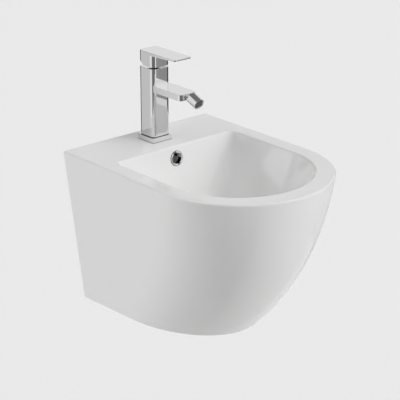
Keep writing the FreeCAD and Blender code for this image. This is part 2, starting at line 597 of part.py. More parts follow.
turret = new_body("stem_guide", **ON_DECK)
turned(turret, "guide", [
    ("0", "turret_foot"), ("turret_radius", "turret_foot"),
    ("turret_radius", "shell_top - shell_roof - 2*run_gap"),
    ("turret_neck", "shell_top - shell_roof - 2*run_gap"),
    ("turret_neck", "turret_top"), ("0", "turret_top")])
slot = box_points("stem_side/2 + stem_gap", "slot_back", "-slot_front")
pad(turret, "stem_slot", outline(turret, "XY_Plane", "slot", slot, level="turret_top"),
    "turret_top - turret_foot", cut=True)
rod(turret, "pin_bore", "pin_radius", "pin_length", "-pin_length/2", "0", "pivot_level", "X")

pin = new_body("pivot_pin", **ON_DECK)
rod(pin, "pin", "pin_radius", "pin_length", "-pin_length/2", "0", "pivot_level", "X", cut=False)

stem = new_body("lever_stem", **ON_DECK)
half_stem = "stem_side/2"
pad(stem, "bar", outline(stem, "XY_Plane", "square", box_points(half_stem, half_stem, f"-{half_stem}"),
                         level="stem_foot"), "stem_top - stem_foot")
tip_level = "pivot_level - tip_drop"
turned(stem, "tip", [("0", None, -1), ("tip_neck", None, 1), ("tip_neck", "stem_foot + 1"),
                     ("0", "stem_foot + 1")], arcs={0: ("tip_radius", tip_level)})
rod(stem, "pin_bore", "pin_radius + stem_gap/3", "stem_side + 2", "-stem_side/2 - 1", "0", "pivot_level", "X")

washer("cartridge_nut", "nut_inner", "nut_bore - fit_gap", "shell_top", "nut_top", **ON_DECK)

# Lever handle

handle = new_body("lever_handle", **ON_DECK)
pad(handle, "block", outline(handle, "XY_Plane", "block_box", column_box, level="handle_front_foot"),
    "handle_top - handle_front_foot")
soften(handle, "block_corners", "column_round", upright)
plate_box = box_points("column_width/2", "0", "-lever_reach")
lever_foot = "handle_top - lever_root_thick"
pad(handle, "plate", outline(handle, "XY_Plane", "plate_box", plate_box, level=lever_foot),
    "lever_root_thick")
soften(handle, "tip_corners", "lever_tip_round",
       lambda e: upright(e) and abs(e.BoundBox.YMin + value("lever_reach")) < 1e-3)
wide = "column_width"
under = outline(handle, "YZ_Plane", "foot_slope", [
    ("-column_depth/2", "handle_front_foot - 1"), ("-column_depth/2", "handle_front_foot"),
    ("handle_break", "handle_mid_foot"), ("column_depth/2 + 1", "handle_back_foot"),
    ("column_depth/2 + 1", "handle_front_foot - 1")], level=wide)
pad(handle, "foot_cut", under, f"2*{wide}", cut=True)
taper = outline(handle, "YZ_Plane", "lever_taper", [
    ("-column_depth/2 - 3", lever_foot), ("-lever_reach - 1", "handle_top - lever_tip_thick"),
    ("-lever_reach - 1", f"{lever_foot} - 1"), ("-column_depth/2 - 3", f"{lever_foot} - 1")], level=wide)
pad(handle, "taper_cut", taper, f"2*{wide}", cut=True)
socket = box_points("stem_side/2 + face_gap", "stem_side/2 + face_gap", "-stem_side/2 - face_gap")
pad(handle, "stem_socket", outline(handle, "XY_Plane", "socket", socket, level="stem_top + face_gap"),
    "stem_top - handle_front_foot + 2", cut=True)
rod(handle, "grub_bore", "grub_radius + face_gap", "column_depth/2 + 1", "0", "stem_side/2",
    "grub_level", "Y")
rod(handle, "plug_bore", "plug_bore", "plug_length + 1", "0", "column_depth/2 - plug_length",
    "grub_level", "Y")
soften(handle, "top_edge", "edge_soft", lambda e: at_height(e, value("handle_top")))

grub = new_body("grub_screw", **ON_DECK)
rod(grub, "screw", "grub_radius", "grub_length", "0", "stem_side/2 + face_gap", "grub_level", "Y", cut=False)
rod(grub, "key_socket", "grub_radius/2", "grub_length/3", "0", "stem_side/2 + face_gap + grub_length*2/3",
    "grub_level", "Y")
plug = new_body("screw_cover", **ON_DECK)
rod(plug, "button", "plug_bore - face_gap", "plug_length", "0", "column_depth/2 - plug_length + face_gap",
    "grub_level", "Y", cut=False)

# Spout arm, ball stub and swivel nozzle

spout_root = "-(tap_setback + column_depth/2)"
spout = new_body("spout_arm", y=spout_root, z="rim_level + spout_level")
pad(spout, "bar", outline(spout, "XY_Plane", "plan", box_points("spout_width/2", "0", "-spout_reach"),
                          level="-spout_thick/2"), "spout_thick")
soften(spout, "end_corners", "spout_round",
       lambda e: upright(e) and abs(e.BoundBox.YMin + value("spout_reach")) < 1e-3)
soften(spout, "long_edges", "edge_soft",
       lambda e: (at_height(e, value("spout_thick/2")) or at_height(e, value("-spout_thick/2")))
       and e.BoundBox.YMin < -1)
rod(spout, "spigot", "spigot_radius - fit_gap", "spigot_length", along="Y", cut=False)
rod(spout, "channel", "channel_radius", "spout_reach + spigot_length", y="-spout_reach", along="Y")
rod(spout, "stub_socket", "stub_radius", "stub_length", y="-spout_reach", along="Y")

BALL = {"y": f"{spout_root} - spout_reach - ball_reach", "z": "rim_level + spout_level"}
stub = new_body("ball_stub", turn="90", **BALL)
turned(stub, "stub", [
    ("stub_bore", "-ball_reach - stub_length"), ("stub_radius - fit_gap", "-ball_reach - stub_length"),
    ("stub_radius - fit_gap", "-ball_reach"), ("collar_radius", "-ball_reach"),
    ("collar_radius", "collar_thick - ball_reach"), ("neck_radius", "collar_thick - ball_reach"),
    ("neck_radius", None, -1), (None, "ball_front"), ("stub_bore", "ball_front")],
    arcs={6: ("ball_radius", "0")})

AIM = {"turn": "90 + nozzle_tilt", **BALL}
seat = new_body("ball_seat", **AIM)
turned(seat, "band", [
    (None, "seat_inner*cos(seat_back)"), (None, "seat_outer*cos(seat_back)"),
    (None, "seat_outer*cos(seat_front)"), (None, "seat_inner*cos(seat_front)")],
    arcs={1: ("seat_outer", "0"), 3: ("seat_inner", "0")})

nozzle = new_body("nozzle_housing", **AIM)
turned(nozzle, "barrel", [
    (None, "-socket_lip"), ("nozzle_radius - nozzle_shoulder", "-socket_lip"),
    ("nozzle_radius", "nozzle_shoulder - socket_lip"), ("nozzle_radius", "nozzle_front"),
    ("front_bore", "nozzle_front"), ("front_bore", "seal_level"), ("socket_radius", "seal_level"),
    (None, "0")], arcs={7: ("socket_radius", "0")})
washer("nozzle_washer", "washer_bore", "front_bore - fit_gap", "seal_level",
       "seal_level + nozzle_washer", **AIM)

insert = new_body("flow_insert", **AIM)
turned(insert, "puck", [
    ("0", "insert_face - mesh_depth"), ("washer_bore", "insert_face - mesh_depth"),
    ("washer_bore", "seal_level + nozzle_washer"), ("front_bore - fit_gap", "seal_level + nozzle_washer"),
    ("front_bore - fit_gap", "ring_back - face_gap"), ("ring_lip - fit_gap", "ring_back - face_gap"),
    ("ring_lip - fit_gap", "insert_face"), ("0", "insert_face")])
rod(insert, "centre_hole", "mesh_hole", "mesh_depth", z="insert_face - mesh_depth")
axis = next(item for item in insert.Origin.OriginFeatures if item.Role == "Z_Axis")
for circle in (1, 2, 3):
    hole = pad(insert, f"mesh_{circle}", rings(insert, "XY_Plane", f"mesh_ring_{circle}",
                                              [("mesh_hole", f"{circle}*mesh_pitch", "0")], "insert_face"),
               "mesh_depth", cut=True)
    pattern = insert.newObject("PartDesign::PolarPattern", f"mesh_turn_{circle}")
    pattern.Originals = [hole]
    pattern.Axis = (axis, [""])
    pattern.Angle = 360
    pattern.Occurrences = 6 * circle
    insert.Tip = pattern
    doc.recompute()

front_ring = new_body("nozzle_ring", **AIM)
turned(front_ring, "ring", [
    ("ring_lip", "ring_back"), ("front_bore - fit_gap", "ring_back"),
    ("front_bore - fit_gap", "nozzle_front - 0.4"), ("ring_lip + 0.6", "nozzle_front - 0.4"),
    ("ring_lip", "nozzle_front - 1")])

# Waste with click plug

WASTE = {"y": "-waste_setback", "z": floor}
flange_foot = "seal_thick - recess_drop"
washer("flange_seal", "waste_hole + 1", "flange_radius - 1", "-recess_drop", flange_foot, **WASTE)

flange = new_body("waste_flange", **WASTE)
flange_rim = f"{flange_foot} + flange_thick"
turned(flange, "dish", [
    ("skirt_bore", "-skirt_drop"), ("skirt_radius", "-skirt_drop"), ("skirt_radius", flange_foot),
    ("flange_radius", flange_foot), ("flange_radius", f"{flange_rim} - 1"),
    ("flange_radius - 1.5", flange_rim), ("flange_radius - 3", flange_rim),
    ("skirt_bore + 1", f"{flange_foot} + 0.8"), ("skirt_bore", flange_foot)])

tail = new_body("waste_tail", **WASTE)
undercut = "tail_radius - undercut_depth"
turned(tail, "tube", [
    ("tail_bore", "-tail_drop"), ("tail_radius", "-tail_drop"), ("tail_radius", "tail_grip - tail_drop"),
    (undercut, "tail_grip - tail_drop"), (undercut, "tail_grip + undercut_width - tail_drop"),
    ("tail_radius", "tail_grip + undercut_width - tail_drop"), ("tail_radius", f"{flange_foot} - 2*fit_gap"),
    ("tail_bore", f"{flange_foot} - 2*fit_gap")])
bar = box_points("(tail_radius + tail_bore)/2", "spider_width/2", "-spider_width/2")
pad(tail, "spider", outline(tail, "XY_Plane", "spider_bar", bar, level="-spider_drop"), "spider_thick")
rod(tail, "hub", "hub_radius", "hub_height", z="-spider_drop", cut=False)
window = outline(tail, "XZ_Plane", "slot", box_points("slot_width/2", "-slot_top", "-slot_top - slot_height"),
                 level="-tail_radius - 1")
pad(tail, "overflow_slots", window, "2*tail_radius + 2", cut=True, flip=True)

washer("waste_gasket", "tail_radius + fit_gap", "under_gasket_radius", "-boss_drop - under_gasket_thick",
       "-boss_drop", **WASTE)
hex_nut("waste_nut", "nut_flats", "waste_nut_height", "tail_radius + fit_gap",
        "-boss_drop - under_gasket_thick - waste_nut_height", **WASTE)

hub_top = "hub_height - spider_drop"
click = new_body("click_cartridge", **WASTE)
turned(click, "barrel", [
    ("0", hub_top), ("click_radius", hub_top), ("click_radius", f"{hub_top} + click_length"),
    ("plug_rod + run_gap", f"{hub_top} + click_length"), ("plug_rod + run_gap", f"{hub_top} + 3"),
    ("0", f"{hub_top} + 3")])

plug_rod = new_body("plug_stem", **WASTE)
turned(plug_rod, "rod", [("0", f"{hub_top} + 6"), ("plug_rod", f"{hub_top} + 6"),
                         ("plug_rod", "plug_base + 1"),
                         ("0", "plug_base + 1")])

cap = new_body("plug_cap", **WASTE)
dome_rise = "(plug_rise - plug_edge)"
dome_radius = f"((plug_radius^2 + {dome_rise}^2)/(2*{dome_rise}))"
turned(cap, "dome", [
    ("0", "plug_base + 1"), ("plug_rod + face_gap", "plug_base + 1"), ("plug_rod + face_gap", "-plug_base"),
    ("plug_radius", "-plug_base"), ("plug_radius", None, 1), ("0", None, 1)],
    arcs={4: (dome_radius, f"plug_rise - plug_base - {dome_radius}")})
washer("plug_seal", "plug_radius - 6", "plug_radius - 1.5", "-plug_base - seal_thick", "-plug_base", **WASTE)

# Check and write

doc.recompute()
faults = [item.Name for item in doc.Objects if "Invalid" in item.State or "Error" in item.State]
if faults:
    raise RuntimeError(f"not computed: {faults}")
os.makedirs("parts", exist_ok=True)
for node, body in pieces.items():
    shape = body.Shape
    if shape.isNull() or not shape.isValid() or len(shape.Solids) != 1:
        raise RuntimeError(f"{node} is not one sound solid")
    shape.exportStep(f"parts/{node}.step")
print(f"{len(pieces)} pieces written")
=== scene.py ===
"""Looks for a wall-hung bidet: glazed ceramic, a polished square mixer and the fittings behind them.

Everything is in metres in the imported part's own frame: the wall is the plane y = 0, +x points to the
right of someone who faces the wall, and +z points up.
"""

from __future__ import annotations

import json
import logging
import math
from dataclasses import dataclass
from enum import Enum

import bpy
from mathutils import Matrix, Vector

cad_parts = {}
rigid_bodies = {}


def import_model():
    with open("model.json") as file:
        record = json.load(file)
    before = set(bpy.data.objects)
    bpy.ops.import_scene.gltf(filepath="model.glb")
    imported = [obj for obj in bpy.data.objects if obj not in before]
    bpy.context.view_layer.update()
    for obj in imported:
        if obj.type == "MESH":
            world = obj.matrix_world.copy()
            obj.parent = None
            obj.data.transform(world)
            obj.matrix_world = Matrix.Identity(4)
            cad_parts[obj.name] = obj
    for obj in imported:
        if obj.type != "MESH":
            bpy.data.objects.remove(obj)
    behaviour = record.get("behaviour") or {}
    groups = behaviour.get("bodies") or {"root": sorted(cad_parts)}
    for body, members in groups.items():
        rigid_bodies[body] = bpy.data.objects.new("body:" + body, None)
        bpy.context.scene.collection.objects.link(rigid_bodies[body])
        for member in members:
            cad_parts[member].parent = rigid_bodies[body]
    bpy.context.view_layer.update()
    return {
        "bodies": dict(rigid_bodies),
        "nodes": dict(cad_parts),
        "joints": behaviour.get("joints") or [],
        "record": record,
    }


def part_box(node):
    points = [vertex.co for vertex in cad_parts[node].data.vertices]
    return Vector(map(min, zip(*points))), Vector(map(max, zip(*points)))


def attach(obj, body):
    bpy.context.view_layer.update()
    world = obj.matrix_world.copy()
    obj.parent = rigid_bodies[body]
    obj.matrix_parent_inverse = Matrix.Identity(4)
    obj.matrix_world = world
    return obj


Colour = tuple[float, float, float]
Point = tuple[float, float, float]
Tones = tuple[tuple[float, float], ...]

LOG = logging.getLogger("bidet")
MM = 0.001
FIXTURE = "fixture"
WHITE = (1.0, 1.0, 1.0, 1.0)
EVEN: Point = (1.0, 1.0, 1.0)
TURNED: Point = (1.0, 1.0, 9.0)
HALF_TURN = 180.0
STAGE_SIDES = 96


class Slot(Enum):
    """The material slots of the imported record."""

    GLAZE = "glaze"
    CHROME = "chrome"
    BRASS = "brass"
    STEEL = "steel"
    RUBBER = "rubber"
    WHITE_PLASTIC = "white_plastic"
    DARK_PLASTIC = "dark_plastic"
    DISC_CERAMIC = "disc_ceramic"


class NodeSheet:
    """A new material's node tree, with short calls to add nodes and join them."""

    def __init__(self, name: str) -> None:
        """Start a material that holds only a Principled shader and its output.

        Args:
            name: the material's name.
        """
        self.material = bpy.data.materials.new(name)
        self.material.use_nodes = True
        self.tree = self.material.node_tree
        self.shader = self.tree.nodes["Principled BSDF"]

    def add(self, kind: str, **settings: object) -> bpy.types.Node:
        """Add a node; settings name its properties, or its inputs with underscores for spaces.

        Args:
            kind: the node's type without the ShaderNode prefix.
            **settings: values for the node's properties or inputs.

        Returns:
            The new node.
        """
        node = self.tree.nodes.new(f"ShaderNode{kind}")
        for key, setting in settings.items():
            if hasattr(node, key):
                setattr(node, key, setting)
            else:
                node.inputs[key.replace("_", " ")].default_value = setting
        return node

    def join(self, source: bpy.types.NodeSocket, target: bpy.types.NodeSocket) -> None:
        """Link one socket to another."""
        self.tree.links.new(source, target)

    def feed(self, source: bpy.types.NodeSocket, name: str) -> None:
        """Link a socket to one of the shader's own inputs."""
        self.join(source, self.shader.inputs[name])

    def set(self, **values: object) -> None:
        """Set constants on the shader's own sockets, with underscores for spaces."""
        for key, setting in values.items():
            self.shader.inputs[key.replace("_", " ")].default_value = setting

    def matte(self, tone: float) -> None:
        """Make the shader an even grey without any gloss."""
        self.set(Base_Color=(tone, tone, tone, 1.0), Roughness=1.0, Specular_IOR_Level=0.0)

    def math(self, operation: str, first: object, second: object = 0.0) -> bpy.types.NodeSocket:
        """Add a Math node.

        Args:
            operation: the node's operation.
            first: a socket or a number.
            second: a socket or a number.

        Returns:
            The node's result.
        """
        node = self.add("Math", operation=operation)
        for socket, term in zip(node.inputs, (first, second)):
            if isinstance(term, bpy.types.NodeSocket):
                self.join(term, socket)
            else:
                socket.default_value = term
        return node.outputs[0]

    def place(self) -> bpy.types.Node:
        """Add the Object coordinates.

        Returns:
            A node whose outputs are X, Y and Z.
        """
        coords = self.add("TexCoord")
        split = self.add("SeparateXYZ")
        self.join(coords.outputs["Object"], split.inputs["Vector"])
        return split

    def noise(self, scale: float, detail: float, stretch: Point = EVEN) -> bpy.types.NodeSocket:
        """Add noise on Object coordinates.

        Args:
            scale: grains per metre.
            detail: octaves of finer grain.
            stretch: scale of each axis, to draw the grain out into lines.

        Returns:
            The noise value.
        """
        coords = self.add("TexCoord")
        spread = self.add("Mapping", Scale=stretch)
        grain = self.add("TexNoise", Scale=scale, Detail=detail)
        self.join(coords.outputs["Object"], spread.inputs["Vector"])
        self.join(spread.outputs["Vector"], grain.inputs["Vector"])
        return grain.outputs["Fac"]

    def ramp(self, factor: bpy.types.NodeSocket, low: float, high: float) -> bpy.types.NodeSocket:
        """Map a 0 to 1 factor onto a span.

        Args:
            factor: the socket to map.
            low: the result at 0.
            high: the result at 1.

        Returns:
            The mapped value.
        """
        node = self.add("MapRange", To_Min=low, To_Max=high)
        self.join(factor, node.inputs["Value"])
        return node.outputs["Result"]

    def blend(self, factor: bpy.types.NodeSocket, first: object, second: object) -> bpy.types.NodeSocket:
        """Mix two colours.

        Args:
            factor: 0 gives the first colour and 1 the second.
            first: a colour or a colour socket.
            second: a colour or a colour socket.

        Returns:
            The mixed colour.
        """
        node = self.add("Mix", data_type="RGBA")
        self.join(factor, node.inputs["Factor"])
        for name, colour in (("A", first), ("B", second)):
            socket = next(s for s in node.inputs if s.name == name and s.type == "RGBA")
            if isinstance(colour, bpy.types.NodeSocket):
                self.join(colour, socket)
            else:
                socket.default_value = (*colour, 1.0)
        return next(s for s in node.outputs if s.type == "RGBA")

    def bump(self, height: bpy.types.NodeSocket, distance: float, strength: float) -> None:
        """Drive the shader's normal from a height.

        Args:
            height: the height socket, 0 to 1.
            distance: the real height in metres.
            strength: share of the effect.
        """
        node = self.add("Bump", Distance=distance, Strength=strength)
        self.join(height, node.inputs["Height"])
        self.feed(node.outputs["Normal"], "Normal")


@dataclass(frozen=True)
class Glaze:
    """White vitreous glaze, bare fired clay on the ground back and foot, and painted shade: the overflow's
    throat is coloured near black.
    """

    colour: Colour = (0.86, 0.86, 0.855)
    pool: Colour = (0.835, 0.838, 0.835)
    clay: Colour = (0.76, 0.74, 0.70)
    # Painted shade: near black, standing for the shade deep in the overflow throat.
    painted_throat_shade: Colour = (0.012, 0.012, 0.013)
    back_face: float = -0.4 * MM
    foot_face: float = -225.7 * MM
    throat_level: float = 75.0 * MM
    throat_radius: float = 12.5 * MM
    throat_front: float = -119.5 * MM
    throat_end: float = -80.0 * MM
    roughness: float = 0.07
    gloss_span: tuple[float, float] = (0.8, 1.25)
    clay_roughness: float = 0.8
    refraction: float = 1.52
    fleck_scale: float = 260.0
    fleck_detail: float = 3.0
    wave_scale: float = 9.0
    wave_detail: float = 2.0
    wave_height: float = 0.25 * MM
    wave_strength: float = 0.12

    def build(self) -> bpy.types.Material:
        """Make the material.

        Returns:
            The glaze, which finds its bare places and its painted shade by their coordinates.
        """
        sheet = NodeSheet("sanitary_glaze")
        place = sheet.place()
        wave = sheet.noise(self.wave_scale, self.wave_detail)
        fleck = sheet.noise(self.fleck_scale, self.fleck_detail)
        bare = self.bare_clay(sheet, place)
        white = sheet.blend(wave, self.colour, self.pool)
        with_clay = sheet.blend(bare, white, self.clay)
        # Painted shade: the throat is mixed to near black.
        with_throat_shade = sheet.blend(self.painted_throat_shade_mask(sheet, place), with_clay, self.painted_throat_shade)
        sheet.feed(with_throat_shade, "Base Color")
        low, high = (self.roughness * share for share in self.gloss_span)
        gloss = sheet.ramp(fleck, low, high)
        dull = sheet.math("MULTIPLY", bare, self.clay_roughness)
        sheet.feed(sheet.math("MAXIMUM", gloss, dull), "Roughness")
        sheet.set(IOR=self.refraction)
        sheet.bump(wave, self.wave_height, self.wave_strength)
        return sheet.material

    def bare_clay(self, sheet: NodeSheet, place: bpy.types.Node) -> bpy.types.NodeSocket:
        """Find the back and the foot, which are ground flat.

        Args:
            sheet: the material's nodes.
            place: the node with the coordinates.

        Returns:
            1 on bare clay and 0 elsewhere.
        """
        on_back = sheet.math("GREATER_THAN", place.outputs["Y"], self.back_face)
        on_foot = sheet.math("LESS_THAN", place.outputs["Z"], self.foot_face)
        return sheet.math("MAXIMUM", on_back, on_foot)

    def painted_throat_shade_mask(self, sheet: NodeSheet, place: bpy.types.Node) -> bpy.types.NodeSocket:
        """Find the overflow's throat behind the bowl's wall, where near-black shade is painted.

        Args:
            sheet: the material's nodes.
            place: the node with the coordinates.

        Returns:
            1 in the throat, where shade is painted, and 0 elsewhere.
        """
        rise = sheet.math("SUBTRACT", place.outputs["Z"], self.throat_level)
        across_squared = sheet.math("POWER", place.outputs["X"], 2.0)
        rise_squared = sheet.math("POWER", rise, 2.0)
        from_axis = sheet.math("ADD", across_squared, rise_squared)
        inside = sheet.math("LESS_THAN", from_axis, self.throat_radius ** 2)
        behind = sheet.math("GREATER_THAN", place.outputs["Y"], self.throat_front)
        before_back = sheet.math("LESS_THAN", place.outputs["Y"], self.throat_end)
        return sheet.math("MULTIPLY", sheet.math("MULTIPLY", inside, behind), before_back)


@dataclass(frozen=True)
class Metal:
    """A metal with fine wipe marks, and grain drawn along one axis where it is machined."""

    name: str
    colour: Colour
    worn: Colour
    roughness: float
    marks: float
    scale: float = 120.0
    stretch: Point = EVEN
    height: float = 0.0
    detail: float = 4.0
    strength: float = 0.5
    smear_share: float = 0.15
    smear_detail: float = 2.0

    def build(self) -> bpy.types.Material:
        """Make the material.

        Returns:
            The metal.
        """
        sheet = NodeSheet(self.name)
        cloud = sheet.noise(self.scale, self.detail, self.stretch)
        smear = sheet.noise(self.scale * self.smear_share, self.smear_detail)
        sheet.feed(sheet.blend(smear, self.colour, self.worn), "Base Color")
        sheet.feed(sheet.ramp(cloud, self.roughness, self.roughness + self.marks), "Roughness")
        sheet.set(Metallic=1.0)
        if self.height:
            sheet.bump(cloud, self.height, self.strength)
        return sheet.material


@dataclass(frozen=True)
class Moulded:
    """Moulded rubber or plastic, or a lapped ceramic disc, with a fine grain."""

    name: str
    colour: Colour
    faded: Colour
    roughness: float
    scale: float
    height: float
    detail: float = 4.0
    strength: float = 0.4
    dull_span: tuple[float, float] = (0.85, 1.15)
    cloud_share: float = 0.06
    cloud_detail: float = 2.0

    def build(self) -> bpy.types.Material:
        """Make the material.

        Returns:
            The moulded finish.
        """
        sheet = NodeSheet(self.name)
        grain = sheet.noise(self.scale, self.detail)
        cloud = sheet.noise(self.scale * self.cloud_share, self.cloud_detail)
        sheet.feed(sheet.blend(cloud, self.colour, self.faded), "Base Color")
        low, high = (self.roughness * share for share in self.dull_span)
        sheet.feed(sheet.ramp(grain, low, high), "Roughness")
        sheet.bump(grain, self.height, self.strength)
        return sheet.material


FINISHES = {
    Slot.GLAZE: Glaze(),
    Slot.CHROME: Metal("polished_chrome", colour=(0.82, 0.82, 0.82), worn=(0.805, 0.805, 0.805),
                       roughness=0.02, marks=0.02),
    Slot.BRASS: Metal("machined_brass", colour=(0.72, 0.55, 0.27), worn=(0.62, 0.46, 0.22),
                      roughness=0.22, marks=0.14, scale=400.0, stretch=TURNED, height=0.02 * MM),
    Slot.STEEL: Metal("zinc_steel", colour=(0.52, 0.53, 0.54), worn=(0.44, 0.45, 0.46),
                      roughness=0.28, marks=0.16, scale=300.0, height=0.02 * MM),
    Slot.RUBBER: Moulded("black_rubber", colour=(0.028, 0.028, 0.029), faded=(0.05, 0.05, 0.05),
                         roughness=0.6, scale=900.0, height=0.05 * MM),
    Slot.WHITE_PLASTIC: Moulded("white_acetal", colour=(0.74, 0.74, 0.72), faded=(0.68, 0.68, 0.66),
                                roughness=0.4, scale=700.0, height=0.02 * MM),
    Slot.DARK_PLASTIC: Moulded("dark_nylon", colour=(0.105, 0.105, 0.11), faded=(0.145, 0.145, 0.15),
                               roughness=0.45, scale=700.0, height=0.02 * MM),
    Slot.DISC_CERAMIC: Moulded("lapped_alumina", colour=(0.78, 0.77, 0.73), faded=(0.74, 0.73, 0.69),
                               roughness=0.2, scale=1200.0, height=0.01 * MM),
}
# Painted shade: brass coloured near black, so that the nut and the stem fill the gap under the handle with
# shade.
GAP_SHADE_BRASS = Metal("brass_painted_as_gap_shade", colour=(0.05, 0.05, 0.05), worn=(0.035, 0.034, 0.033),
                  roughness=0.35, marks=0.15, scale=400.0, stretch=TURNED, height=0.02 * MM)


@dataclass(frozen=True)
class Thread:
    """A rolled thread: one low ridge wound round a plain rod."""

    name: str
    axis: tuple[float, float]
    bottom: float
    top: float
    radius: float
    pitch: float
    depth: float
    steps: int = 32
    ridge_share: float = 0.4
    ridge_sides: int = 6
    largest_hole: int = 8
    crease: float = math.radians(50.0)

    def build(self) -> bpy.types.Object:
        """Wind the ridge up from a small loop, and close its two ends.

        Returns:
            The ridge, at the origin with its place in its mesh.
        """
        half_ridge = self.pitch * self.ridge_share
        bpy.ops.object.select_all(action="DESELECT")
        bpy.ops.mesh.primitive_circle_add(vertices=self.ridge_sides, radius=half_ridge, fill_type="NOTHING",
                                          location=(self.axis[0] + self.radius, self.axis[1], self.bottom),
                                          rotation=(math.pi / 2, 0.0, 0.0))
        ridge = bpy.context.object
        ridge.name = self.name
        ridge.scale = (self.depth / half_ridge, 1.0, 1.0)
        bpy.ops.object.transform_apply(location=True, rotation=True, scale=True)
        bpy.context.scene.cursor.location = (self.axis[0], self.axis[1], self.bottom)
        bpy.ops.object.origin_set(type="ORIGIN_CURSOR")
        winding = ridge.modifiers.new("winding", "SCREW")
        winding.axis = "Z"
        winding.screw_offset = self.pitch
        winding.iterations = int((self.top - self.bottom) / self.pitch)
        winding.steps = self.steps
        winding.render_steps = self.steps
        bpy.ops.object.modifier_apply(modifier=winding.name)
        bpy.ops.object.mode_set(mode="EDIT")
        bpy.ops.mesh.select_all(action="SELECT")
        bpy.ops.mesh.fill_holes(sides=self.largest_hole)
        bpy.ops.mesh.normals_make_consistent(inside=False)
        bpy.ops.object.mode_set(mode="OBJECT")
        bpy.ops.object.transform_apply(location=True)
        bpy.ops.object.shade_smooth_by_angle(angle=self.crease)
        return ridge


@dataclass(frozen=True)
class SealRing:
    """A thin moulded seal: round, or square with round corners."""

    name: str
    centre: Point
    half_width: float
    thickness: float
    wall: float
    corner: float = 0.0
    lean: float = 0.0
    soft: float = 0.2 * MM
    sides: int = 72
    corner_segments: int = 8
    soft_segments: int = 2
    soft_angle: float = math.radians(60.0)
    crease: float = math.radians(35.0)
    flat_limit: float = 0.9

    def build(self) -> bpy.types.Object:
        """Cut the slab, open its middle, soften its edges and lay it in place.

        Returns:
            The seal, at the origin with its place in its mesh.
        """
        bpy.ops.object.select_all(action="DESELECT")
        if self.corner:
            bpy.ops.mesh.primitive_cube_add(size=2.0 * self.half_width)
            bpy.context.object.scale = (1.0, 1.0, self.thickness / (2.0 * self.half_width))
            bpy.ops.object.transform_apply(scale=True)
        else:
            bpy.ops.mesh.primitive_cylinder_add(vertices=self.sides, radius=self.half_width,
                                                depth=self.thickness)
        slab = bpy.context.object
        slab.name = self.name
        if self.corner:
            self.round_corners(slab)
        self.open_middle(slab)
        edge = slab.modifiers.new("soft_edge", "BEVEL")
        edge.width = self.soft
        edge.segments = self.soft_segments
        edge.limit_method = "ANGLE"
        edge.angle_limit = self.soft_angle
        bpy.ops.object.modifier_apply(modifier=edge.name)
        slab.rotation_euler = (self.lean, 0.0, 0.0)
        slab.location = self.centre
        bpy.ops.object.transform_apply(location=True, rotation=True)
        bpy.ops.object.shade_smooth_by_angle(angle=self.crease)
        return slab

    def round_corners(self, slab: bpy.types.Object) -> None:
        """Round the four upright edges of a square slab.

        Args:
            slab: the slab, which is the active object.
        """
        bpy.ops.object.mode_set(mode="EDIT")
        bpy.ops.mesh.select_mode(type="EDGE")
        bpy.ops.mesh.select_all(action="DESELECT")
        bpy.ops.object.mode_set(mode="OBJECT")
        points = slab.data.vertices
        for edge in slab.data.edges:
            start, end = (points[index].co for index in edge.vertices)
            edge.select = abs(end.z - start.z) > self.thickness / 2
        bpy.ops.object.mode_set(mode="EDIT")
        bpy.ops.mesh.bevel(offset=self.corner, segments=self.corner_segments, affect="EDGES")
        bpy.ops.object.mode_set(mode="OBJECT")

    def open_middle(self, slab: bpy.types.Object) -> None:
        """Inset both flat faces to the wall's width and join them through the slab.

        Args:
            slab: the slab, which is the active object.
        """
        bpy.ops.object.mode_set(mode="EDIT")
        bpy.ops.mesh.select_mode(type="FACE")
        bpy.ops.mesh.select_all(action="DESELECT")
        bpy.ops.object.mode_set(mode="OBJECT")
        for face in slab.data.polygons:
            face.select = abs(face.normal.z) > self.flat_limit
        bpy.ops.object.mode_set(mode="EDIT")
        bpy.ops.mesh.inset(thickness=self.wall)
        bpy.ops.mesh.bridge_edge_loops()
        bpy.ops.mesh.select_all(action="SELECT")
        bpy.ops.mesh.normals_make_consistent(inside=False)
        bpy.ops.object.mode_set(mode="OBJECT")


@dataclass
class SubAssembly:
    """Pieces that are fitted together and dressed from one set of finishes."""

    frame: dict
    finishes: dict[Slot, bpy.types.Material]
    nodes: tuple[str, ...] = ()

    def dress(self) -> None:
        """Give each CAD piece of the group the finish of its slot."""
        slots = {row["node"]: Slot(row["material_slot"]) for row in self.frame["record"]["subparts"]}
        for node in self.nodes:
            mesh = self.frame["nodes"][node].data
            mesh.materials.clear()
            mesh.materials.append(self.finishes[slots[node]])
            LOG.info("%s dressed in %s", node, slots[node].value)

    def fit(self, piece: bpy.types.Object, body: str, slot: Slot) -> None:
        """Dress a new piece and let it move with a body.

        Args:
            piece: the new piece.
            body: the body that carries it.
            slot: the slot of its finish.
        """
        piece.data.materials.clear()
        piece.data.materials.append(self.finishes[slot])
        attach(piece, body)
        LOG.info("%s modelled, %d faces, on %s", piece.name, len(piece.data.polygons), body)

    def build(self) -> None:
        """Dress the group; a group with pieces of its own also models them."""
        self.dress()


@dataclass
class CeramicBody(SubAssembly):
    """The glazed bowl with its overflow ring, which sits on a black seal; the seal's black also paints the
    shade at the ring's edge.
    """

    nodes: tuple[str, ...] = ("ceramic_body", "overflow_ring")
    ring_seat: Point = (0.0, -122.51 * MM, 75.0 * MM)
    back_lean: float = math.radians(8.0)
    ring_radius: float = 14.4 * MM
    seal_radius: float = 15.3 * MM
    seal_height: float = 0.9 * MM

    def build(self) -> None:
        """Dress the group and lay the black seal round the overflow ring; its black also paints the shade
        at the ring's edge.
        """
        self.dress()
        outward = Vector((0.0, -math.cos(self.back_lean), math.sin(self.back_lean)))
        centre = Vector(self.ring_seat) + outward * (self.seal_height / 2)
        # Painted shade: a black rubber seal, which also stands for the dark shade at the ring's upper edge.
        seal_and_shade = SealRing("overflow_seal_and_shade", tuple(centre), half_width=self.seal_radius,
                        thickness=self.seal_height, wall=self.seal_radius - self.ring_radius,
                        lean=math.pi / 2 - self.back_lean)
        self.fit(seal_and_shade.build(), FIXTURE, Slot.RUBBER)


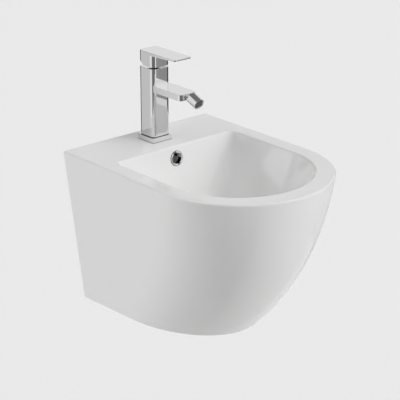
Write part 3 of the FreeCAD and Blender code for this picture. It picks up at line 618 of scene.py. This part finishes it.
@dataclass
class TapBody(SubAssembly):
    """The square column on its base and the flat spout, with a black seal in the seam and a black lip at
    the foot, which also paint the shade in the seam and the contact shadow at the foot.
    """

    nodes: tuple[str, ...] = ("base_plate", "base_gasket", "tap_column", "spout_arm", "ball_stub")
    column_round: float = 8.5 * MM
    seam_height: float = 1.2 * MM
    seam_depth: float = 1.4 * MM
    seal_setback: float = 0.25 * MM
    seal_play: float = 0.04 * MM
    base_round: float = 4.0 * MM
    lip_height: float = 0.6 * MM
    lip_wall: float = 0.32 * MM
    lip_play: float = 0.02 * MM
    lip_soft: float = 0.06 * MM

    def build(self) -> None:
        """Dress the group, seal the seam between column and base with black rubber, and lay a black lip
        round the base's foot; both also paint the seam's shade and the foot's contact shadow.
        """
        self.dress()
        low, high = (Vector(corner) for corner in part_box("tap_column"))
        middle = (low + high) / 2
        # Painted shade: the black seal also stands for the shade in the seam.
        seal_and_shade = SealRing("foot_seal_and_shade", (middle.x, middle.y, low.z + self.seam_height / 2),
                        half_width=(high.x - low.x) / 2 - self.seal_setback,
                        thickness=self.seam_height - self.seal_play,
                        wall=self.seam_depth - self.seal_setback,
                        corner=self.column_round - self.seal_setback)
        self.fit(seal_and_shade.build(), FIXTURE, Slot.RUBBER)
        low, high = (Vector(corner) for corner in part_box("base_plate"))
        middle = (low + high) / 2
        reach = self.lip_play + self.lip_wall
        # Painted shadow: the black lip also stands for the contact shadow at the base's foot.
        lip_and_shadow = SealRing("base_lip_and_shadow", (middle.x, middle.y, low.z + self.lip_height / 2),
                       half_width=(high.x - low.x) / 2 + reach,
                       thickness=self.lip_height - self.seal_play,
                       wall=self.lip_wall, corner=self.base_round + reach, soft=self.lip_soft)
        self.fit(lip_and_shadow.build(), FIXTURE, Slot.RUBBER)


@dataclass
class TapFixing(SubAssembly):
    """What holds the tap from below the deck: a threaded stud and a horseshoe washer."""

    nodes: tuple[str, ...] = ("fixing_stud", "horseshoe_gasket", "horseshoe_washer", "stud_nut")
    stud_radius: float = 3.9 * MM
    thread_pitch: float = 1.25 * MM
    thread_depth: float = 0.32 * MM
    thread_start: float = 1.0 * MM
    thread_end: float = 30.0 * MM

    def build(self) -> None:
        """Dress the group and roll the stud's thread."""
        self.dress()
        low, high = (Vector(corner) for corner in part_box("fixing_stud"))
        middle = (low + high) / 2
        thread = Thread("stud_thread", (middle.x, middle.y), bottom=low.z + self.thread_start,
                        top=low.z + self.thread_end, radius=self.stud_radius, pitch=self.thread_pitch,
                        depth=self.thread_depth)
        self.fit(thread.build(), FIXTURE, Slot.STEEL)


@dataclass
class Cartridge(SubAssembly):
    """The ceramic disc cartridge inside the column."""

    nodes: tuple[str, ...] = ("port_seal_plate", "cartridge_base", "fixed_disc", "moving_disc",
                              "disc_carrier", "cartridge_shell", "stem_guide", "pivot_pin", "lever_stem",
                              "cartridge_nut")
    # These are painted near black as the shade in the gap under the handle.
    painted_shade: tuple[str, ...] = ("cartridge_nut", "lever_stem")

    def dress(self) -> None:
        """Dress the group, with the nut and the stem below the handle painted near black as the shade in
        the gap under the handle.
        """
        super().dress()
        black = GAP_SHADE_BRASS.build()
        for node in self.painted_shade:
            mesh = self.frame["nodes"][node].data
            mesh.materials.clear()
            mesh.materials.append(black)
            LOG.info("%s blackened", node)


@dataclass
class LeverHandle(SubAssembly):
    """The flat lever with its grub screw and cover."""

    nodes: tuple[str, ...] = ("lever_handle", "grub_screw", "screw_cover")


@dataclass
class SwivelNozzle(SubAssembly):
    """The nozzle that turns on the spout's ball."""

    nodes: tuple[str, ...] = ("ball_seat", "nozzle_housing", "nozzle_washer", "flow_insert", "nozzle_ring")


@dataclass
class Waste(SubAssembly):
    """The push-open waste: flange, plug, threaded tail and the nut under the bowl."""

    nodes: tuple[str, ...] = ("flange_seal", "waste_flange", "waste_tail", "waste_gasket", "waste_nut",
                              "click_cartridge", "plug_stem", "plug_cap", "plug_seal")
    tail_radius: float = 20.95 * MM
    thread_pitch: float = 2.309 * MM
    thread_depth: float = 0.45 * MM
    thread_start: float = 1.5 * MM
    thread_end: float = 21.0 * MM
    thread_steps: int = 64

    def build(self) -> None:
        """Dress the group and roll the tail's thread for the trap."""
        self.dress()
        low, high = (Vector(corner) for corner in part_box("waste_tail"))
        middle = (low + high) / 2
        thread = Thread("tail_thread", (middle.x, middle.y), bottom=low.z + self.thread_start,
                        top=low.z + self.thread_end, radius=self.tail_radius, pitch=self.thread_pitch,
                        depth=self.thread_depth, steps=self.thread_steps)
        self.fit(thread.build(), FIXTURE, Slot.CHROME)


@dataclass
class WallFixing(SubAssembly):
    """Sleeves, washers and nuts on the two wall studs."""

    nodes: tuple[str, ...] = ("wall_sleeve_left", "wall_washer_left", "wall_nut_left",
                              "wall_sleeve_right", "wall_washer_right", "wall_nut_right")


def reflect_only(piece: bpy.types.Object) -> None:
    """Show a studio piece in polished surfaces and nowhere else.

    Args:
        piece: the drape or cloth.
    """
    piece.visible_camera = False
    piece.visible_diffuse = False
    piece.visible_shadow = False


@dataclass(frozen=True)
class ReflectionRing:
    """One tier of studio drapes and soft boxes round the object, seen only in polished surfaces.

    Each tone is a bearing, in degrees from +x towards +y, with the glow there.
    """

    name: str
    bottom: float
    top: float
    tones: Tones
    radius: float = 2.2

    def build(self) -> None:
        """Stand the tier up as an open tube."""
        bpy.ops.object.select_all(action="DESELECT")
        bpy.ops.mesh.primitive_cylinder_add(vertices=STAGE_SIDES, radius=self.radius,
                                            depth=self.top - self.bottom, end_fill_type="NOTHING",
                                            location=(0.0, 0.0, (self.top + self.bottom) / 2))
        bpy.ops.object.transform_apply(location=True)
        ring = bpy.context.object
        ring.name = self.name
        reflect_only(ring)
        ring.data.materials.append(self.glow())

    def glow(self) -> bpy.types.Material:
        """Make the glow, which changes with the bearing.

        Returns:
            The tier's material.
        """
        sheet = NodeSheet(self.name)
        sheet.matte(0.0)
        sheet.set(Emission_Strength=1.0)
        place = sheet.place()
        bearing = sheet.math("ARCTAN2", place.outputs["Y"], place.outputs["X"])
        share = sheet.add("MapRange", From_Min=-math.pi, From_Max=math.pi)
        sheet.join(bearing, share.inputs["Value"])
        ramp = sheet.add("ValToRGB")
        sheet.join(share.outputs["Result"], ramp.inputs["Fac"])
        stops = ramp.color_ramp.elements
        stops[0].position = 0.0
        stops[1].position = 1.0
        behind = self.tones[0][1]
        for stop in (stops[0], stops[1]):
            stop.color = (behind, behind, behind, 1.0)
        for degrees, tone in self.tones:
            stop = stops.new((degrees + HALF_TURN) / (2.0 * HALF_TURN))
            stop.color = (tone, tone, tone, 1.0)
        sheet.feed(ramp.outputs["Color"], "Emission Color")
        return sheet.material


@dataclass(frozen=True)
class Lamp:
    """A broad distant lamp, which the drapes stand for in polished surfaces.

    The azimuth, in degrees from +x towards +y, and the elevation are those of the side that the light
    comes from. The strength is in watts per square metre, and the spread is the lamp's width in degrees.
    """

    name: str
    azimuth: float
    elevation: float
    strength: float
    spread: float = 40.0

    def build(self) -> None:
        """Hang the lamp and turn it towards the object."""
        data = bpy.data.lights.new(self.name, "SUN")
        data.energy = self.strength
        data.angle = math.radians(self.spread)
        lamp = bpy.data.objects.new(self.name, data)
        lamp.visible_glossy = False
        bpy.context.scene.collection.objects.link(lamp)
        turn = math.radians(self.azimuth)
        rise = math.radians(self.elevation)
        towards = Vector((math.cos(turn) * math.cos(rise), math.sin(turn) * math.cos(rise), math.sin(rise)))
        lamp.rotation_euler = towards.to_track_quat("Z", "Y").to_euler()


FRONT_TONES: Tones = ((-160, 0.82), (-80, 0.82), (-70, 1.05), (-30, 1.05), (-15, 0.82), (57, 0.82),
                      (62, 0.06))
HIGH_TONES: Tones = FRONT_TONES + ((134, 0.06), (140, 0.82))
BOX_TONES: Tones = FRONT_TONES + ((110, 0.06), (118, 1.4), (134, 1.4), (140, 0.82))
MIDDLE_TONES: Tones = FRONT_TONES + ((132.5, 0.06), (134.4, 1.7), (138, 1.7), (143, 0.82))
LOW_TONES: Tones = ((-170, 0.87), (-160, 0.26), (-157, 0.17), (-79, 0.17), (-75, 0.97), (-56, 0.97),
                    (-52, 0.29), (-38, 0.27), (-32, 0.03), (20, 0.03), (30, 0.8), (48, 0.8), (53, 0.06),
                    (115, 0.06), (121, 0.615), (131.2, 0.615), (132.2, 0.70), (144, 0.87))
SKIRT_TONES: Tones = ((-40, 0.8), (-10, 0.6), (70, 0.6), (100, 0.8))
DRAPES = (
    ReflectionRing("skirt_drapes", bottom=-1.45, top=-0.81, tones=SKIRT_TONES),
    ReflectionRing("low_drapes", bottom=-0.80, top=0.35, tones=LOW_TONES),
    ReflectionRing("middle_drapes", bottom=0.36, top=0.84, tones=MIDDLE_TONES),
    ReflectionRing("soft_box", bottom=0.85, top=1.04, tones=BOX_TONES),
    ReflectionRing("high_drapes", bottom=1.05, top=2.2, tones=HIGH_TONES),
)
LAMPS = (
    Lamp("left_lamp", azimuth=130.0, elevation=9.0, strength=1.40),
    Lamp("left_low_lamp", azimuth=140.0, elevation=-35.0, strength=0.36),
    Lamp("left_front_lamp", azimuth=190.0, elevation=25.0, strength=0.48),
    Lamp("left_high_lamp", azimuth=162.0, elevation=50.0, strength=0.38),
    Lamp("right_high_lamp", azimuth=291.0, elevation=46.0, strength=1.40),
    Lamp("right_lamp", azimuth=299.0, elevation=22.0, strength=0.98),
    Lamp("right_low_lamp", azimuth=312.0, elevation=-35.0, strength=0.58),
    Lamp("far_right_lamp", azimuth=10.0, elevation=42.0, strength=0.42),
)


@dataclass
class Studio:
    """Camera, pale floor, soft lamps and the drapes that polished metal needs to show its form."""

    eye: Point = (-1.7788, -2.2333, 1.0524)
    right: Point = (0.7538, -0.6571, 0.0)
    up: Point = (0.2367, 0.2715, 0.9329)
    back: Point = (-0.6130, -0.7032, 0.3602)
    lens: float = 133.46
    sensor_width: float = 36.0
    backdrop: float = 0.823
    ambient: float = 0.03
    floor_level: float = -1.5
    floor_radius: float = 16.0
    floor_tone: float = 0.6
    floor_lift: float = 0.345
    cloth_radius: float = 2.2
    cloth_level: float = 2.3
    cloth_tone: float = 0.18

    def camera(self) -> None:
        """Set the camera at the photograph's viewing angle."""
        data = bpy.data.cameras.new("camera")
        data.lens = self.lens
        data.sensor_width = self.sensor_width
        camera = bpy.data.objects.new("camera", data)
        bpy.context.scene.collection.objects.link(camera)
        place = Matrix((self.right, self.up, self.back)).transposed().to_4x4()
        place.translation = Vector(self.eye)
        camera.matrix_world = place
        bpy.context.scene.camera = camera

    def world(self) -> None:
        """Add a little even light, and show the pale backdrop to the camera and to gloss."""
        world = bpy.data.worlds.new("studio")
        world.use_nodes = True
        tree = world.node_tree
        light = tree.nodes["Background"]
        light.inputs["Color"].default_value = WHITE
        path = tree.nodes.new("ShaderNodeLightPath")
        shown = path.outputs["Is Camera Ray"]
        for ray in ("Is Glossy Ray", "Is Transmission Ray"):
            either = tree.nodes.new("ShaderNodeMath")
            either.operation = "MAXIMUM"
            tree.links.new(shown, either.inputs[0])
            tree.links.new(path.outputs[ray], either.inputs[1])
            shown = either.outputs[0]
        level = tree.nodes.new("ShaderNodeMapRange")
        level.inputs["To Min"].default_value = self.ambient
        level.inputs["To Max"].default_value = self.backdrop
        tree.links.new(shown, level.inputs["Value"])
        tree.links.new(level.outputs["Result"], light.inputs["Strength"])
        bpy.context.scene.world = world

    def floor(self) -> None:
        """Lay a wide pale floor far below the bowl.

        It takes the object's shadow. It casts none, so that the low lamps shine through it, and it is
        clear from below.
        """
        bpy.ops.object.select_all(action="DESELECT")
        bpy.ops.mesh.primitive_circle_add(vertices=STAGE_SIDES, radius=self.floor_radius, fill_type="NGON",
                                          location=(0.0, 0.0, self.floor_level))
        floor = bpy.context.object
        floor.name = "studio_floor"
        floor.visible_shadow = False
        sheet = NodeSheet("pale_floor")
        sheet.matte(self.floor_tone)
        sheet.set(Emission_Color=WHITE)
        path = sheet.add("LightPath")
        seen = sheet.math("MAXIMUM", path.outputs["Is Camera Ray"], path.outputs["Is Glossy Ray"])
        shown = sheet.math("MAXIMUM", seen, path.outputs["Is Transmission Ray"])
        sheet.feed(sheet.math("MULTIPLY", shown, self.floor_lift), "Emission Strength")
        side = sheet.add("NewGeometry")
        clear = sheet.add("BsdfTransparent")
        choice = sheet.add("MixShader")
        sheet.join(side.outputs["Backfacing"], choice.inputs[0])
        sheet.join(sheet.shader.outputs["BSDF"], choice.inputs[1])
        sheet.join(clear.outputs["BSDF"], choice.inputs[2])
        sheet.join(choice.outputs["Shader"], sheet.tree.nodes["Material Output"].inputs["Surface"])
        floor.data.materials.append(sheet.material)

    def overhead(self) -> None:
        """Hang a dark cloth overhead, which polished metal shows and nothing else does."""
        bpy.ops.object.select_all(action="DESELECT")
        bpy.ops.mesh.primitive_circle_add(vertices=STAGE_SIDES, radius=self.cloth_radius, fill_type="NGON",
                                          location=(0.0, 0.0, self.cloth_level))
        cloth = bpy.context.object
        cloth.name = "overhead_cloth"
        reflect_only(cloth)
        sheet = NodeSheet("overhead_cloth")
        sheet.matte(0.0)
        sheet.set(Emission_Color=WHITE, Emission_Strength=self.cloth_tone)
        cloth.data.materials.append(sheet.material)

    def build(self) -> None:
        """Set up the whole studio."""
        bpy.context.scene.view_settings.view_transform = "Standard"
        self.camera()
        self.world()
        self.floor()
        for tier in DRAPES:
            tier.build()
        self.overhead()
        for lamp in LAMPS:
            lamp.build()


def main() -> None:
    """Load the frame, dress and fit out every group, and light it."""
    logging.basicConfig(level=logging.INFO, format="%(name)s: %(message)s")
    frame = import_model()
    finishes = {slot: finish.build() for slot, finish in FINISHES.items()}
    groups = (CeramicBody, TapBody, TapFixing, Cartridge, LeverHandle, SwivelNozzle, Waste, WallFixing)
    for group in groups:
        group(frame, finishes).build()
    Studio().build()


if __name__ == "__main__":
    main()
